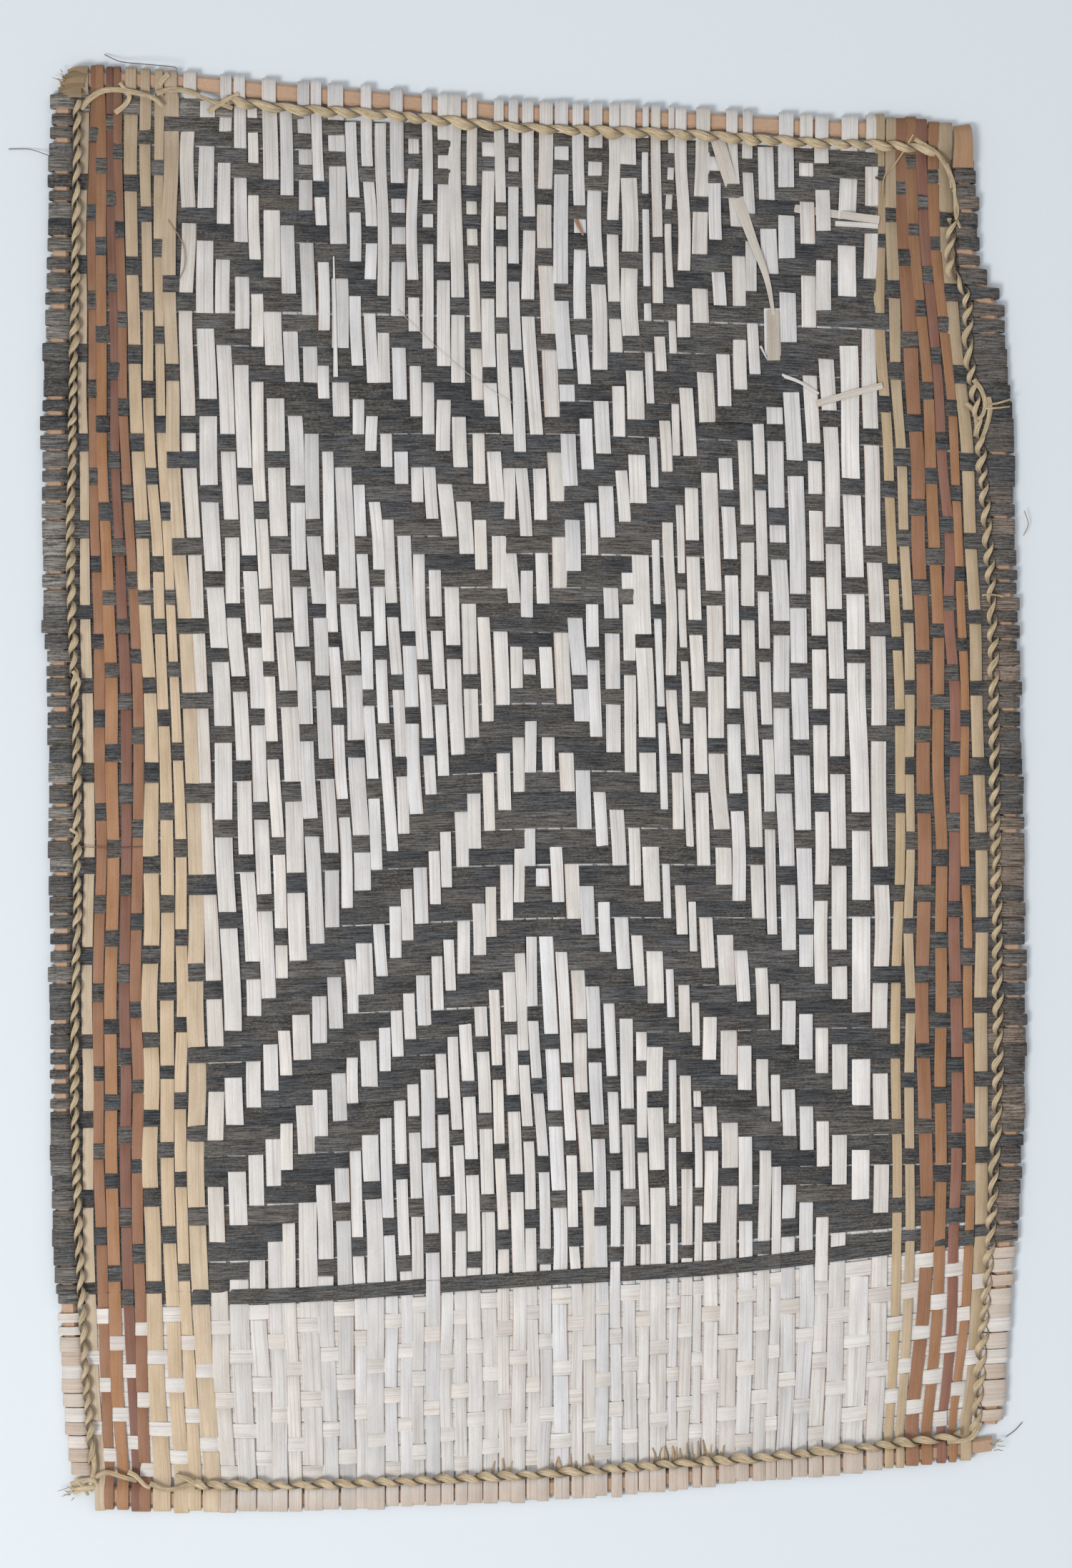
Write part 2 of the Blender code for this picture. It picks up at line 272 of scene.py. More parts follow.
# Places where the plaiter's count slipped: whether the black splint shows there
SLIPS = {
    (16, -21): False, (20, 0): False, (23, 7): True, (24, 8): True, (22, 12): True, (23, 19): False,
    (32, 27): True, (41, 16): False, (41, 17): True, (42, 4): False, (43, 2): False, (43, 4): True,
    (43, 7): False, (43, 12): True, (43, 17): False, (43, 18): True, (0, -28): False, (1, -28): False,
    (1, 17): False, (1, 18): True, (3, 16): False, (3, 17): True, (1, -15): True, (28, -5): True,
    (33, -14): False, (38, -15): True, (40, -16): False, (40, -14): True, (41, -16): True, (41, -14): False,
    (42, -17): False, (43, -10): False, (-3, -4): False, (-3, -5): True, (-2, -2): False, (-2, -3): True,
    (1, -18): False, (1, -23): False, (2, -22): False, (7, -30): False, (8, -30): True, (7, -32): False,
    (8, -32): True, (11, -26): False, (12, -26): True, (12, -32): False, (13, -27): False, (14, -27): True,
    (18, -27): False, (19, -27): True, (29, -29): False, (30, -29): True, (30, -31): False, (29, -31): True,
    (31, -28): False, (32, -28): True, (33, -27): False, (36, -30): True, (37, -30): False,
}


# The splints that cross over the long black one, and how far behind its row each lower band's two edges lie
FLOAT_UNDER = (1, 14, 26, 40)
BANDS_BELOW = ((3, 1), (9, 7), (15, 13))


def black_shows(col, row):
    """Whether a black cross splint lies over a long one: bands that spread from the middle, and spots."""
    if (col, row) in SLIPS:
        return SLIPS[col, row]
    if col < PALE_FIRST:
        return (col + 2 * row) % 5 == 4
    if col > PALE_LAST:
        late = row >= 7 and col > PALE_LAST + 1
        return (col - 2 * row) % 5 == (0 if late else 3)
    if row == FLOAT_ROW:
        return col not in FLOAT_UNDER
    away = abs(int(col) - MIDDLE)
    left = col < MIDDLE
    if row < 0:
        return black_shows_above(col, -row, away, left)
    if any(row - far <= away <= row - near for far, near in BANDS_BELOW):
        return True
    if away > row + 1:
        return field_spot(col, row, away, left)
    place = col if col < EXTRA_COL else math.ceil(col + 0.5)
    return away <= row - 18 and (place + 2 * row) % 5 == 2


# The top rows' single spots, by the row's number above the middle: which of each five splints they lie over
TOP_SPOTS = {28: 1, 29: 4, 30: 2, 31: 0, 32: 2, 33: 0, 34: 3}


def black_shows_above(col, up, away, left):
    """The same for a row the given number above the middle one."""
    first_low = up - (2 if left and up >= 18 else 3)
    second = up - (6 if left and up >= 13 else 7)
    broad = 13 <= up <= 17 if left else 18 <= up <= 22
    if first_low <= away <= up - 1:
        return True
    if second - (2 if broad else 1) <= away <= second:
        return True
    if up >= 13 and up - 13 <= away <= up - 12:
        return True
    if away > up + (2 if left else 1):
        return field_spot(col, -up, away, left)
    if up >= 18 and away <= up - 15:
        return col % 5 == TOP_SPOTS.get(up, (2 * up + 4) % 5)
    return False


def field_spot(col, row, away, left):
    """The single spots of the plain field on either side of the bands."""
    if left:
        return (col + 2 * row) % 5 == 0
    if row <= -9:
        return (col + 2 * row) % 5 == 3
    if -6 <= row <= 2:
        last_early = 31 if row == -4 else 30
        if col == last_early:
            return False
        col += 1 if col < last_early else 0
    return (PALE_LAST + 1 - col + 2 * row) % 5 == 0


def natural_shows(col, row):
    """Whether an undyed cross splint lies over a long one, in the plain strip at the near end."""
    place = col if col < EXTRA_COL else math.ceil(col + 0.5)
    if col > PALE_LAST:
        return (col - 2 * row) % 5 == 0
    return (place + 2 * row) % 5 == 4


def weft_shows(col, row):
    if row > FLOAT_ROW:
        return natural_shows(col, row)
    if row == FLOAT_ROW - 1 and PALE_FIRST + 1 < col < PALE_LAST - 1:
        return False
    return black_shows(col, row)


class Splints:
    """Flat strips gathered into one mesh, each a closed bar with eased edges."""

    EASE = 0.34
    SECTION = ((-1, 0.2), (-0.5, 0.5), (0.5, 0.5), (1, 0.2), (1, -0.2), (0.5, -0.5), (-0.5, -0.5), (-1, -0.2))
    SKIN = np.array((0.46, 0.23, 0.13))

    def __init__(self):
        self.points, self.faces, self.grain, self.dyes = [], [], [], []
        self.count = 0

    def add(self, path, across, width, dye, thick=THICK, skin=0.0):
        """A strip along a path of points in mm, broad in the direction across, in a linear colour.

        Above or below 0, skin is how much of the reed's brown skin is left along one edge or the other.
        """
        path = np.asarray(path, float)
        n = len(path)
        across = np.broadcast_to(np.asarray(across, float), (n, 3))
        width = np.broadcast_to(np.asarray(width, float), n)
        dye = np.broadcast_to(np.asarray(dye, float), (n, 3))
        steps = np.gradient(path, axis=0)
        along = steps / np.linalg.norm(steps, axis=1, keepdims=True)
        up = np.cross(across, along)
        up /= np.linalg.norm(up, axis=1, keepdims=True)
        half = width / 2
        eased = np.maximum(half - self.EASE, half * 0.4)
        ring = []
        for side, height in self.SECTION:
            reach = np.where(abs(side) == 1, half, eased) * math.copysign(1, side)
            ring.append((reach, np.full(n, height * thick), abs(skin) if side == np.sign(skin) else 0.0))
        start = self.count * 8
        run = np.concatenate(([0], np.cumsum(np.linalg.norm(np.diff(path, axis=0), axis=1))))
        seed = rng.uniform(0, 90)
        for i in range(n):
            for reach, height, brown in ring:
                self.points.append((path[i] + across[i] * reach[i] + up[i] * height[i]) * MM)
                self.grain.append((reach[i], run[i], seed))
                self.dyes.append((*(dye[i] * (1 - brown) + self.SKIN * brown), 1.0))
        for i in range(n - 1):
            a, b = start + i * 8, start + i * 8 + 8
            self.faces += [(a + j, a + (j + 1) % 8, b + (j + 1) % 8, b + j) for j in range(8)]
        self.faces.append(tuple(range(start + 7, start - 1, -1)))
        end = start + (n - 1) * 8
        self.faces.append(tuple(range(end, end + 8)))
        self.count += n

    def made(self, name, material):
        mesh = bpy.data.meshes.new(name)
        mesh.from_pydata(self.points, [], self.faces)
        grain = mesh.attributes.new("grain", "FLOAT_VECTOR", "POINT")
        grain.data.foreach_set("vector", np.ravel(self.grain))
        dye = mesh.attributes.new("dye", "FLOAT_COLOR", "POINT")
        dye.data.foreach_set("color", np.ravel(self.dyes))
        mesh.shade_smooth()
        mesh.set_sharp_from_angle(angle=math.radians(42))
        mesh.materials.append(material)
        piece = bpy.data.objects.new(name, mesh)
        bpy.context.scene.collection.objects.link(piece)
        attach(piece, "root")
        return piece


class Shade:
    """A socket in a material. Sums on it add Math nodes, and add() adds any other node."""

    def __init__(self, tree, socket=None):
        self.tree, self.socket = tree, socket

    def add(self, kind, sockets=None, out=0, stops=None, **settings):
        node = self.tree.nodes.new(kind)
        for name, value in settings.items():
            setattr(node, name, value)
        if stops:
            ramp = node.color_ramp
            for place, value in stops[2:]:
                ramp.elements.new(place)
            for element, (place, value) in zip(ramp.elements, sorted(stops)):
                element.position = place
                element.color = (value, value, value, 1)
        for name, value in (sockets or {}).items():
            target = node.inputs[name]
            if isinstance(value, Shade):
                self.tree.links.new(value.socket, target)
            else:
                target.default_value = value
        return Shade(self.tree, node.outputs[out])

    def maths(self, operation, a, b):
        return self.add("ShaderNodeMath", {0: a, 1: b}, operation=operation)

    def __add__(self, other):
        return self.maths("ADD", self, other)

    def __sub__(self, other):
        return self.maths("SUBTRACT", self, other)

    def __rsub__(self, other):
        return self.maths("SUBTRACT", other, self)

    def __mul__(self, other):
        return self.maths("MULTIPLY", self, other)

    __radd__ = __add__
    __rmul__ = __mul__

    def mix(self, a, b):
        """Colour a where this value is 0, colour b where it is 1."""
        node = self.tree.nodes.new("ShaderNodeMix")
        node.data_type = "RGBA"
        self.tree.links.new(self.socket, node.inputs["Factor"])
        for socket, colour in ((node.inputs[6], a), (node.inputs[7], b)):
            if isinstance(colour, Shade):
                self.tree.links.new(colour.socket, socket)
            else:
                socket.default_value = (*colour, 1)
        return Shade(self.tree, node.outputs[2])


def linear(red, green, blue):
    """A colour given as 0 to 255 levels, in linear light."""
    return tuple(((c / 255 + 0.055) / 1.055) ** 2.4 if c > 10 else c / 3294.6 for c in (red, green, blue))


def new_material(name):
    material = bpy.data.materials.new(name)
    material.use_nodes = True
    tree = material.node_tree
    shader = tree.nodes["Principled BSDF"]
    return material, Shade(tree), shader


def connect(shade, shader, **sockets):
    for name, value in sockets.items():
        shade.tree.links.new(value.socket, shader.inputs[name.replace("_", " ")])


def stretched(shade, vector, across, along, seed):
    return shade.add("ShaderNodeVectorMath", {0: vector, 1: (across, along, seed)}, operation="MULTIPLY")


def reed_finish():
    """Split reed: fine grain along the strip, soft cloudy stains, a few brown hairlines."""
    material, shade, shader = new_material("split_reed")
    grain = shade.add("ShaderNodeAttribute", attribute_name="grain", out="Vector")
    dye = shade.add("ShaderNodeAttribute", attribute_name="dye", out="Color")
    fine = shade.add("ShaderNodeTexNoise", {"Vector": stretched(shade, grain, 2.6, 0.045, 1.0), "Scale": 1.0,
                                            "Detail": 3.0, "Roughness": 0.6})
    cloud = shade.add("ShaderNodeTexNoise", {"Vector": stretched(shade, grain, 0.22, 0.07, 1.0), "Scale": 1.0,
                                             "Detail": 3.0})
    lines = shade.add("ShaderNodeTexNoise", {"Vector": stretched(shade, grain, 1.5, 0.012, 3.0), "Scale": 1.0,
                                             "Detail": 2.0, "Roughness": 0.7})
    mottle = shade.add("ShaderNodeTexNoise", {"Vector": stretched(shade, grain, 3.4, 0.8, 2.0), "Scale": 1.0,
                                              "Detail": 3.0, "Roughness": 0.7})
    streaks = shade.add("ShaderNodeValToRGB", {"Fac": fine}, stops=((0.36, 0.0), (0.66, 1.0)))
    light = shade.add("ShaderNodeHueSaturation", {"Color": dye, "Value": 1.1, "Saturation": 0.9})
    dark = shade.add("ShaderNodeHueSaturation", {"Color": dye, "Value": 0.73, "Saturation": 1.1})
    colour = (streaks * 0.42 + cloud * 1.1 + mottle * 0.8 - 0.6).mix(dark, light)
    hair = shade.add("ShaderNodeValToRGB", {"Fac": lines}, stops=((0.55, 0.0), (0.66, 1.0)))
    brown = shade.add("ShaderNodeMix", {0: 0.75, 6: dye, 7: (0.27, 0.18, 0.13, 1)}, out=2, data_type="RGBA")
    colour = (hair * 0.4).mix(colour, brown)
    rough = 0.5 + streaks * 0.2
    bump = shade.add("ShaderNodeBump", {"Height": fine, "Strength": 0.55, "Distance": 0.00022})
    connect(shade, shader, Base_Color=colour, Roughness=rough, Normal=bump)
    shader.inputs["Specular IOR Level"].default_value = 0.32
    return material


PALE = linear(230, 225, 220)
TAN = linear(212, 188, 157)
DULL_TAN = linear(198, 175, 143)
BROWN = linear(158, 113, 84)
RED_BROWN = linear(143, 98, 80)
ORANGE_BROWN = linear(174, 126, 88)
STAINED = linear(202, 180, 160)
COLOURED = {
    -8: TAN, -7: BROWN, -6: ORANGE_BROWN, -5: RED_BROWN, -4: BROWN, -3: TAN, -2: TAN, -1: TAN, 0: TAN,
    44: DULL_TAN, 45: DULL_TAN, 46: BROWN, 47: ORANGE_BROWN, 48: RED_BROWN, 49: ORANGE_BROWN, 50: DULL_TAN,
}
DYE_SPREAD = 0.05
WARMTH_SPREAD = 0.014
BOTTOM_STAIN = 0.75
SKIN_SHARE = 0.4
FAR_TAB, FAR_TAB_COLOURED, NEAR_TAB = 0.94, 0.8, 1.03
TILT_EVERY = 31.0
# Shares of the long splints' colour along the mat: the coloured ones darker toward the far end, the pale ones
# darker toward both ends.
DARKER_AT_FAR_END = ((90, 235), (1.0, 0.7))
DARKER_AT_ENDS = ((-200, -150, 110, 235), (0.94, 1.0, 1.0, 0.86))


def turned_end(side, at, inner, across_axis, slope=0.0):
    """Points of an end that turns over the rod on a side, from just outside the given depth outward."""
    share = float(depth_share(side, at))
    edge = float(edge_at(side, at))
    inward = -1 if side in ("right", "top") else 1
    points = []
    ragged = rng.normal(0, RAGGED)
    for depth, height in TURN:
        if depth * share > inner - 0.7 and len(points) == 0:
            continue
        out = edge + inward * (depth * share + ragged * max(0, 1 - depth / 8))
        other = at + slope * (inner - depth * share)
        points.append((out, other, height) if across_axis == "x" else (other, out, height))
    return points


def long_splint(splints, col):
    """One long splint from its far turned end to its near one, over and under every row."""
    first = TOP_ROW if col_line(col, 230) < SHORT_ROW_END else TOP_ROW + 1
    if col == EXTRA_COL:
        first = EXTRA_FIRST_ROW
    rows = [row for row in ROWS if row >= first]
    ys = np.array([crossing(col, row)[1] for row in rows])
    pitch = np.abs(np.gradient(ys))
    path, over = [], [not weft_shows(col, row) for row in rows]
    lift = rng.uniform(0.06, 0.12) * (-1) ** COLS.index(col)
    for y, wide, up in zip(ys, pitch, over):
        height = (OVER if up else UNDER) + lift
        for step in (CRISP, -CRISP):
            at = y + step * wide
            path.append((float(col_line(col, at)), at, height))
    width = fit_width(col, np.array([point[1] for point in path]))
    near = path[-1]
    bottom = turned_end("bottom", near[0], near[1] - float(edge_at("bottom", near[0])), "y")
    head = []
    if first < 0 and col not in SHORT_AT_TOP:
        far = path[0]
        head = turned_end("top", far[0], float(edge_at("top", far[0])) - far[1], "y")[::-1]
    points = head + path + bottom
    tab = FAR_TAB if col >= PALE_FIRST else FAR_TAB_COLOURED
    near_tab = np.full(len(bottom), width[-1] * NEAR_TAB)
    widths = np.concatenate((np.full(len(head), width[0] * tab), width, near_tab))
    dye = np.array(COLOURED.get(col, PALE)) * (1 + rng.normal(0, DYE_SPREAD))
    warm = rng.normal(0, WARMTH_SPREAD)
    tint = np.array([1 + warm, 1.0, 1 - 1.6 * warm])
    colours = np.tile(dye * tint, (len(points), 1))
    pale = PALE_FIRST <= col <= PALE_LAST
    # The long splint's colour is made darker toward the mat's ends.
    end_darkening = np.interp([point[1] for point in points], *(DARKER_AT_ENDS if pale else DARKER_AT_FAR_END))
    colours = colours * end_darkening[:, None]
    if pale:
        fade = np.array([0.0] * (len(head) + len(path)) + [min(1.0, 0.25 * i) for i in range(len(bottom))])
        stain = BOTTOM_STAIN * fade[:, None]
        colours = colours * (1 - stain) + np.array(STAINED) * stain
    tilt = np.interp([point[1] for point in points[::-1]], ALONG, uneven(ALONG, TILT_EVERY, TILT))
    across = np.stack((-np.ones(len(points)), np.zeros(len(points)), tilt), axis=1)
    skin = rng.choice((-1, 1)) * rng.uniform(0.3, 0.9) if pale and rng.uniform() < SKIN_SHARE else 0.0
    splints.add(points[::-1], across, widths[::-1], colours[::-1], skin=skin)


reed = reed_finish()
long_ones = Splints()
for col in COLS:
    long_splint(long_ones, col)
long_splints = long_ones.made("long_splints", reed)
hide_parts("plaited_mat")

# The dyed cross splints: black-dyed reed, plaited over and under the long splints in a pattern of bands
# that spread from the middle, with a satin of single spots beside them. The ends turn over the side rods.
BLACK = linear(53, 54, 56)
WORN = linear(110, 100, 88)
FADED = linear(104, 99, 92)
FADED_BROWN = linear(108, 90, 74)
TAB_FILL = (0.9, 1.04)
THIN_TAB = (0.58, 0.8)
THIN_SHARE, THIN_SHARE_FAR_LEFT = 0.3, 0.5
TAB_STARTS = (7.0, 11.0)
ROW_FILL = (0.95, 1.02)
ROW_BREADTHS = (4.2, 7.0)
ROW_TILT_EVERY = 40.0
FLOAT_LIFT = 0.42
FLOAT_BREADTH = 5.2


def dyed_finish():
    """Black-dyed reed: grain in grey and black, worn brown in speckled patches."""
    material, shade, shader = new_material("dyed_reed")
    grain = shade.add("ShaderNodeAttribute", attribute_name="grain", out="Vector")
    dye = shade.add("ShaderNodeAttribute", attribute_name="dye", out="Color")
    fine = shade.add("ShaderNodeTexNoise", {"Vector": stretched(shade, grain, 2.4, 0.12, 1.0), "Scale": 1.0,
                                            "Detail": 4.0, "Roughness": 0.68})
    patch = shade.add("ShaderNodeTexNoise", {"Vector": stretched(shade, grain, 0.16, 0.06, 2.0), "Scale": 1.0,
                                             "Detail": 2.0})
    speck = shade.add("ShaderNodeTexNoise", {"Vector": stretched(shade, grain, 2.1, 0.9, 1.0), "Scale": 1.0,
                                             "Detail": 3.0, "Roughness": 0.75})
    both = fine * 0.7 + speck * 0.3
    streaks = shade.add("ShaderNodeValToRGB", {"Fac": both}, stops=((0.42, 0.0), (0.62, 1.0)))
    light = shade.add("ShaderNodeHueSaturation", {"Color": dye, "Value": 3.1, "Saturation": 0.7})
    dark = shade.add("ShaderNodeHueSaturation", {"Color": dye, "Value": 0.45, "Saturation": 1.0})
    worn_here = shade.add("ShaderNodeValToRGB", {"Fac": patch}, stops=((0.44, 0.0), (0.58, 1.0)))
    speckled = shade.add("ShaderNodeValToRGB", {"Fac": speck}, stops=((0.48, 0.0), (0.58, 1.0)))
    wear = worn_here * (0.1 + speckled * 0.9)
    colour = (wear * 0.75).mix(streaks.mix(dark, light), (streaks * 0.7 + 0.1).mix(
        tuple(0.35 * c for c in WORN), tuple(1.6 * c for c in WORN)))
    bump = shade.add("ShaderNodeBump", {"Height": fine, "Strength": 0.7, "Distance": 0.00025})
    connect(shade, shader, Base_Color=colour, Roughness=0.55 + wear * 0.25, Normal=bump)
    shader.inputs["Specular IOR Level"].default_value = 0.3
    return material


def cross_path(row, low, high):
    """The field part of a cross splint's path, over and under the long splints between two of them."""
    path = []
    lift = 0.05 * (-1) ** row
    for col in COLS:
        if not low <= col <= high or (col == EXTRA_COL and row < EXTRA_FIRST_ROW):
            continue
        x = crossing(col, row)[0]
        height = (OVER if weft_shows(col, row) else UNDER) + lift
        if row == FLOAT_ROW and height > UNDER + 0.1:
            height += FLOAT_LIFT
        for step in (-CRISP, CRISP):
            at = x + step * breadth(col)
            path.append((at, float(row_line(row, at)), height))
    return path


def cross_splint(splints, row, dye, low=FIRST, high=LAST, ends=("left", "right"), faded=None):
    """One cross splint with its turned ends, which may be faded toward a colour each."""
    path = cross_path(row, low, high)
    head, tail = [], []
    if "left" in ends:
        x, y, _ = path[0]
        slope = (path[0][1] - path[6][1]) / (path[6][0] - path[0][0])
        head = turned_end("left", y, x - float(edge_at("left", y)), "x", slope * 0.6)[::-1]
    if "right" in ends:
        x, y, _ = path[-1]
        slope = (path[-1][1] - path[-7][1]) / (path[-1][0] - path[-7][0])
        tail = turned_end("right", y, float(edge_at("right", y)) - x, "x", slope * 0.6)
    points = head + path + tail
    xs, ys = np.array(points)[:, :2].T
    above = row_line(max(row - 1, TOP_ROW), xs)
    below = row_line(min(row + 1, LAST_ROW), xs)
    rows_apart = min(row + 1, LAST_ROW) - max(row - 1, TOP_ROW)
    width = np.clip((above - below) / rows_apart * rng.uniform(*ROW_FILL), *ROW_BREADTHS)
    if row == FLOAT_ROW:
        width[:] = FLOAT_BREADTH
    for side in ends:
        thin_share = THIN_SHARE_FAR_LEFT if side == "left" and row < -8 else THIN_SHARE
        narrow = rng.uniform(*(THIN_TAB if rng.uniform() < thin_share else TAB_FILL))
        width *= np.interp(np.abs(xs - edge_at(side, ys)), TAB_STARTS, (narrow, 1.0))
    tilt = np.interp(xs, ACROSS, uneven(ACROSS, ROW_TILT_EVERY, TILT))
    across = np.stack((np.zeros(len(xs)), -np.ones(len(xs)), tilt), axis=1)
    dyes = np.tile(dye, (len(points), 1)).astype(float)
    if faded is not None:
        for start, stop, tone in ((0, len(head), faded[0]), (len(points) - len(tail), len(points), faded[1])):
            share = rng.uniform(0.0, 1.0) ** 2
            dyes[start:stop] = dyes[start:stop] * (1 - share) + np.array(tone) * share
    splints.add(points, across, width, dyes)


dyed = dyed_finish()
black_ones = Splints()
cross_splint(black_ones, TOP_ROW, FADED, high=10, ends=("left",))
for row in range(TOP_ROW + 1, FLOAT_ROW + 1):
    shade_of = rng.uniform(0.8, 1.25)
    warmth = rng.uniform(0, 1) ** 3 + (0.6 if row < TOP_ROW + 5 else 0.0)
    tone = [b * shade_of * (1 - 0.3 * warmth) + w * 0.3 * warmth for b, w in zip(BLACK, WORN)]
    cross_splint(black_ones, row, tone, faded=(FADED, FADED_BROWN))
dyed_splints = black_ones.made("dyed_cross_splints", dyed)

# The undyed cross splints: plain split reed that fills the near end of the mat, below the long black
# splint. They are plaited over one and under four, and their ends turn over the side rods too.
plain_ones = Splints()
for row in range(FLOAT_ROW + 1, LAST_ROW + 1):
    tone = np.array(PALE) * (1 + rng.normal(0, 0.03)) * np.array((1.0, 0.99, 0.97))
    share = rng.uniform(0, 0.6) ** 2
    cross_splint(plain_ones, row, tone * (1 - share) + np.array(STAINED) * share, faded=(STAINED, STAINED))
plain_splints = plain_ones.made("undyed_cross_splints", reed)

# The edge rods: one flat rod of split reed along each edge of the mat, its ends close to the next rods'.
# The splints' ends are turned over it and held by the twining, and it shows between them.
ROD = linear(196, 160, 131)


def rod_finish():
    material, shade, shader = new_material("rod_reed")
    place = shade.add("ShaderNodeTexCoord", out="Object")
    fine = shade.add("ShaderNodeTexNoise", {"Vector": place, "Scale": 900.0, "Detail": 3.0})
    cloud = shade.add("ShaderNodeTexNoise", {"Vector": place, "Scale": 60.0, "Detail": 2.0})
    colour = (fine * 0.5 + cloud * 0.5).mix(tuple(0.62 * c for c in ROD), tuple(1.25 * c for c in ROD))
    bump = shade.add("ShaderNodeBump", {"Height": fine, "Strength": 0.3, "Distance": 0.0002})
    connect(shade, shader, Base_Color=colour, Roughness=0.45 + fine * 0.15, Normal=bump)
    return material


rod_material = rod_finish()
for side in EDGES:
    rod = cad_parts[f"edge_rod_{side}"]
    for slot in rod.material_slots:
        slot.material = rod_material

# The twining: two strands of a pale bast cord, twisted half a turn at each turned end, so that a lobe
# lies over every one. It runs round all four edges, the same way round, and holds the turned ends down.
CORD_HEIGHT = 3.4
STRAND_RISE = 0.7
STRAND_DEEP = 0.5
LOBE = {"top": 8.1, "right": 6.4, "bottom": 7.0, "left": 5.9}
SWING = {"top": 0.95, "right": 1.4, "bottom": 0.95, "left": 1.0}
STRAND_BROAD = {"top": 1.55, "right": 1.0, "bottom": 1.35, "left": 1.0}
CORD_ENDS = {"top": (-107, 140), "right": (199, -224), "bottom": (149, -118), "left": (-236, 240)}
STEPS_PER_LOBE = 10
LOBE_SPREAD = 0.13
SWING_SPREAD = 0.1
LOOP_THICK = 0.7
STRAW = linear(208, 184, 146)


def twine_finish():
    material, shade, shader = new_material("twine")
    grain = shade.add("ShaderNodeAttribute", attribute_name="grain", out="Vector")
    dye = shade.add("ShaderNodeAttribute", attribute_name="dye", out="Color")
    fine = shade.add("ShaderNodeTexNoise", {"Vector": stretched(shade, grain, 2.4, 0.22, 1.0), "Scale": 1.0,
                                            "Detail": 3.0, "Roughness": 0.65})
    streaks = shade.add("ShaderNodeValToRGB", {"Fac": fine}, stops=((0.34, 0.0), (0.68, 1.0)))
    light = shade.add("ShaderNodeHueSaturation", {"Color": dye, "Value": 1.2, "Saturation": 0.9})
    dark = shade.add("ShaderNodeHueSaturation", {"Color": dye, "Value": 0.55, "Saturation": 1.1})
    bump = shade.add("ShaderNodeBump", {"Height": fine, "Strength": 0.8, "Distance": 0.0004})
    connect(shade, shader, Base_Color=streaks.mix(dark, light), Roughness=0.5 + streaks * 0.15, Normal=bump)
    return material


def strand(cord, side, phase, turns):
    """One of a side's two strands: broad where it lies on top and thin where it dives, with painted shade
    that darkens its colour where it dives.
    """
    start, stop = CORD_ENDS[side]
    count = (len(turns) - 1) * STEPS_PER_LOBE + 1
    half_turns = np.linspace(0, len(turns) - 1, count)
    at = start + (stop - start) * np.interp(half_turns, np.arange(len(turns)), turns)
    turn = math.pi * half_turns + phase
    fuller = 1 + uneven(half_turns, 1.0, SWING_SPREAD)
    edge = smooth_between(EDGES[side], at)
    inward = -1 if side in ("right", "top") else 1
    depth = smooth_between(TWINING_DEPTH[side], at) - SWING[side] * np.cos(turn) * fuller
    height = CORD_HEIGHT + STRAND_RISE * np.sin(turn)
    out = edge + inward * depth
    path = np.stack((out, at, height) if side in ("left", "right") else (at, out, height), axis=1)
    # Painted shade: the strand's straw colour stays full where it lies on top and is darkened where it dives
    # under the other strand.
    painted_light_share = np.clip(0.5 + 0.62 * np.sin(turn - 0.35), 0.12, 1.0)
    broad = STRAND_BROAD[side] * (0.52 + 0.46 * np.sin(turn - 0.8)) * fuller
    dye = np.array(STRAW) * (0.25 + 0.75 * painted_light_share)[:, None] * rng.uniform(0.9, 1.05)
    steps = np.gradient(path, axis=0)
    flat = np.stack((-steps[:, 1], steps[:, 0], np.zeros(count)), axis=1)
    flat /= np.linalg.norm(flat, axis=1, keepdims=True)
    cord.add(path, flat, 2 * broad, dye, thick=2 * STRAND_DEEP)


def laid(splints, width, dye, points, thick=0.3, taper=1.0):
    """A loose strip through the given points, which narrows toward its end to a share of its width."""
    points = np.array(points, float)
    run = np.concatenate(([0], np.cumsum(np.linalg.norm(np.diff(points, axis=0), axis=1))))
    fine = np.linspace(0, run[-1], 6 * len(points))
    path = np.stack([smooth_between(tuple(zip(run, points[:, axis])), fine) for axis in range(3)], axis=1)
    steps = np.gradient(path, axis=0)
    flat = np.stack((-steps[:, 1], steps[:, 0], np.zeros(len(path))), axis=1)
    flat /= np.maximum(np.linalg.norm(flat, axis=1, keepdims=True), 1e-6)
    splints.add(path, flat, width * np.linspace(1, taper, len(path)), dye, thick=thick)


